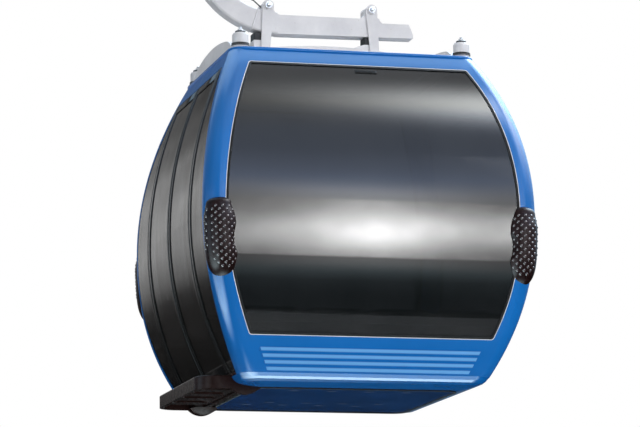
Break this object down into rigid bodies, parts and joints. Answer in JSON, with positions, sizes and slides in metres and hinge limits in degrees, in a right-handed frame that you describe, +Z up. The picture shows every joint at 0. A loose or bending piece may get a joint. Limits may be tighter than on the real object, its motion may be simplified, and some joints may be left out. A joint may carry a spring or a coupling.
{
  "type": "cable car cabin",
  "caption": "Egg-shaped gondola cabin with curved windows, corner bumpers and doors, on a bent tube hanger and a spring grip for a haul rope.",
  "frame": {"origin": "axis of the haul rope, in the middle of the grip's jaws", "axes": "+Z up, +Y along the rope, doors and hanger tube on the -X side"},
  "size_m": [2.1004, 2.25, 4.612],
  "materials": {
    "body_blue": "satin",
    "pan_blue": "satin",
    "window_glass": "polished, smoke tint",
    "door_glass": "polished, smoke tint",
    "seal_rubber": "matte",
    "door_metal": "satin",
    "deck_rubber": "ribbed",
    "step_plastic": "moulded",
    "bench_laminate": "laminate",
    "seat_cover": "synthetic",
    "bumper_rubber": "moulded mesh pattern",
    "mount_grey": "satin",
    "roof_white": "satin",
    "frame_paint": "galvanised and painted",
    "pad_rubber": "matte",
    "hub_steel": "machined",
    "grip_cast": "cast, grey",
    "jaw_steel": "worn",
    "roller_plastic": "nylon",
    "plate_aluminium": "machined",
    "spring_steel": "zinc yellow",
    "wheel_tyre": "moulded"
  },
  "bodies": {
    "grip": {"drive_plate": "plate_aluminium", "fixed_jaw": "jaw_steel", "grip_body": "grip_cast", "jaw_pin": "hub_steel", "spring_housings": "spring_steel"},
    "cabin": {"beam_pads": "pad_rubber", "bench_front": "bench_laminate", "bench_rear": "bench_laminate", "bumper_front_left": "bumper_rubber", "bumper_front_right": "bumper_rubber", "bumper_rear_left": "bumper_rubber", "bumper_rear_right": "bumper_rubber", "corner_post_front_left": "body_blue", "corner_post_front_right": "body_blue", "corner_post_rear_left": "body_blue", "corner_post_rear_right": "body_blue", "door_frame_front": "door_metal", "door_frame_rear": "door_metal", "door_glass_front": "door_glass", "door_glass_rear": "door_glass", "door_guide_rail": "door_metal", "door_middle_seal": "seal_rubber", "door_sill": "step_plastic", "door_step": "step_plastic", "floor_deck": "deck_rubber", "floor_pan": "pan_blue", "hanger_arm": "frame_paint", "hanger_beam": "frame_paint", "hanger_hub": "hub_steel", "lower_panel_front": "body_blue", "lower_panel_rear": "body_blue", "lower_panel_right": "body_blue", "roof_arm_left": "frame_paint", "roof_arm_right": "frame_paint", "roof_cross_rail": "frame_paint", "roof_edges_ends": "body_blue", "roof_mounts": "mount_grey", "roof_rail_left": "body_blue", "roof_rail_right": "body_blue", "roof_shell": "roof_white", "seat_pads_front": "seat_cover", "seat_pads_rear": "seat_cover", "side_panes": "door_glass", "step_buffer": "bumper_rubber", "stirrup_left": "frame_paint", "stirrup_right": "frame_paint", "window_front": "window_glass", "window_rear": "window_glass", "window_right": "window_glass", "window_seal_front": "seal_rubber", "window_seal_rear": "seal_rubber", "window_seal_right": "seal_rubber"},
    "jaw": {"moving_jaw": "jaw_steel"},
    "roller": {"coupling_roller": "roller_plastic"},
    "wheel_front": {"wheel_hub_front": "plate_aluminium", "wheel_tyre_front": "wheel_tyre"},
    "wheel_rear": {"wheel_hub_rear": "plate_aluminium", "wheel_tyre_rear": "wheel_tyre"}
  },
  "joints": [
    {"name": "hanger_swing", "type": "hinge", "parent": "grip", "child": "cabin", "pos_m": [0, 0, -0.165], "axis": [1, 0, 0], "range_deg": [-25, 25]},
    {"name": "jaw_open", "type": "hinge", "parent": "grip", "child": "jaw", "pos_m": [-0.072, 0, -0.064], "axis": [0, -1, 0], "range_deg": [0, 24], "stiffness_Nm_per_rad": 600, "springref_deg": -22.92},
    {"name": "roller_spin", "type": "hinge", "parent": "jaw", "child": "roller", "pos_m": [-0.268, 0.032, 0.066], "axis": [0, 1, 0], "continuous": true},
    {"name": "wheel_front_spin", "type": "hinge", "parent": "grip", "child": "wheel_front", "pos_m": [0.164, -0.19, 0.04], "axis": [1, 0, 0], "continuous": true},
    {"name": "wheel_rear_spin", "type": "hinge", "parent": "grip", "child": "wheel_rear", "pos_m": [0.164, 0.19, 0.04], "axis": [1, 0, 0], "continuous": true}
  ]
}
